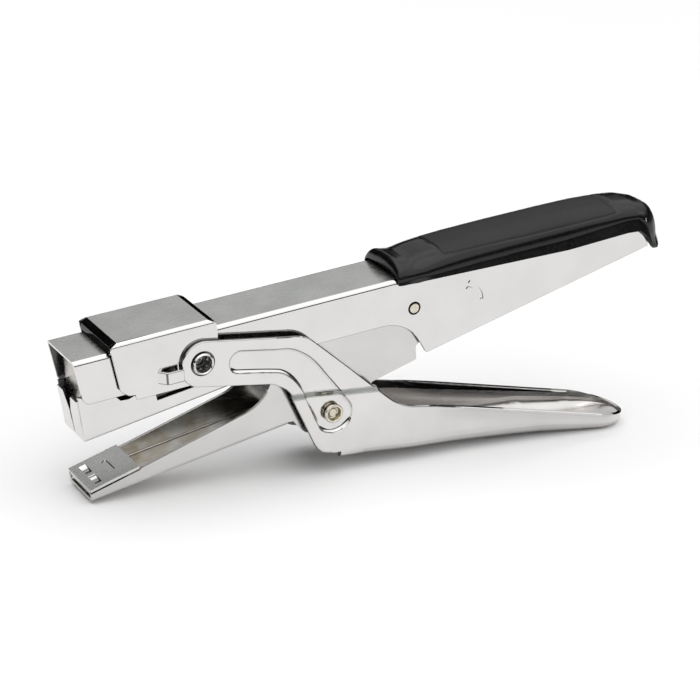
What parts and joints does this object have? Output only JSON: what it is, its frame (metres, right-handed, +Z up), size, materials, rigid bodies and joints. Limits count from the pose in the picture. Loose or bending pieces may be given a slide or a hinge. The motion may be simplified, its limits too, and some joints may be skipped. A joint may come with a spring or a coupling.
{
  "type": "plier stapler",
  "caption": "Hand-held plier stapler in polished sheet steel: upper arm with rubber grip, sliding saddle, S-shaped lever, anvil arm and staple magazine.",
  "frame": {"origin": "middle of the bounding box in X and Y, on the surface it stands on", "axes": "+X from the jaw's nose towards the handles' ends, +Z up, Y across the tool"},
  "size_m": [0.2016, 0.0288, 0.0765],
  "materials": {
    "plated_sheet": "bright nickel plating on pressed sheet steel, satin on the flat tops",
    "rivets": "warm nickel on turned pins and rivets",
    "inner_steel": "plain dark steel, lightly oiled",
    "spring_steel": "drawn spring wire and strip",
    "grip_rubber": "black moulded sleeve, fine matte grain on top and glossy at its ends"
  },
  "bodies": {
    "anvil": {"anvil_arm": "plated_sheet", "anvil_plate": "plated_sheet", "main_pin": "rivets", "lever_rivet": "rivets", "lever_washer_near": "inner_steel", "lever_washer_far": "inner_steel", "lever_bush": "inner_steel", "return_spring": "spring_steel", "magazine_bush": "inner_steel"},
    "arm": {"upper_arm": "plated_sheet", "driver_blade": "inner_steel", "driver_block": "inner_steel", "magazine_spring": "spring_steel", "grip": "grip_rubber"},
    "saddle": {"saddle": "plated_sheet"},
    "lever": {"lever": "plated_sheet", "eyelet_near": "plated_sheet", "eyelet_far": "plated_sheet"},
    "magazine": {"magazine_channel": "plated_sheet", "staple_rail": "inner_steel", "spring_rod": "inner_steel", "pusher_spring": "spring_steel", "spring_anchor": "inner_steel"},
    "pusher": {"pusher": "inner_steel"}
  },
  "joints": [
    {"name": "handle_squeeze", "type": "hinge", "parent": "anvil", "child": "lever", "pos_m": [-0.01572, 0, 0.02057], "axis": [0, -1, 0], "range_deg": [0, 18.5], "stiffness_Nm_per_rad": 1.5, "springref_deg": -28.65, "deforming": ["return_spring"]},
    {"name": "arm_press", "type": "hinge", "parent": "anvil", "child": "arm", "pos_m": [0.01051, 0, 0.05091], "axis": [0, -1, 0], "range_deg": [0, 10.7]},
    {"name": "saddle_slide", "type": "slide", "parent": "arm", "child": "saddle", "axis": [-0.9907, 0, -0.1357], "range_m": [0, 0.0079]},
    {"name": "magazine_tilt", "type": "hinge", "parent": "arm", "child": "magazine", "pos_m": [0.01051, 0, 0.05091], "axis": [0, -1, 0], "range_deg": [-3.17, 0], "deforming": ["magazine_spring"]},
    {"name": "pusher_slide", "type": "slide", "parent": "magazine", "child": "pusher", "axis": [0.9673, 0, 0.2538], "range_m": [0, 0.03], "stiffness_N_per_m": 30, "springref_m": -0.03, "deforming": ["pusher_spring"]}
  ],
  "couplings": [
    {"joint": "arm_press", "follows": "handle_squeeze", "ratio": 0.5765},
    {"joint": "saddle_slide", "follows": "handle_squeeze", "m_per_rad": 0.02426},
    {"joint": "magazine_tilt", "follows": "handle_squeeze", "ratio": -0.1684}
  ]
}
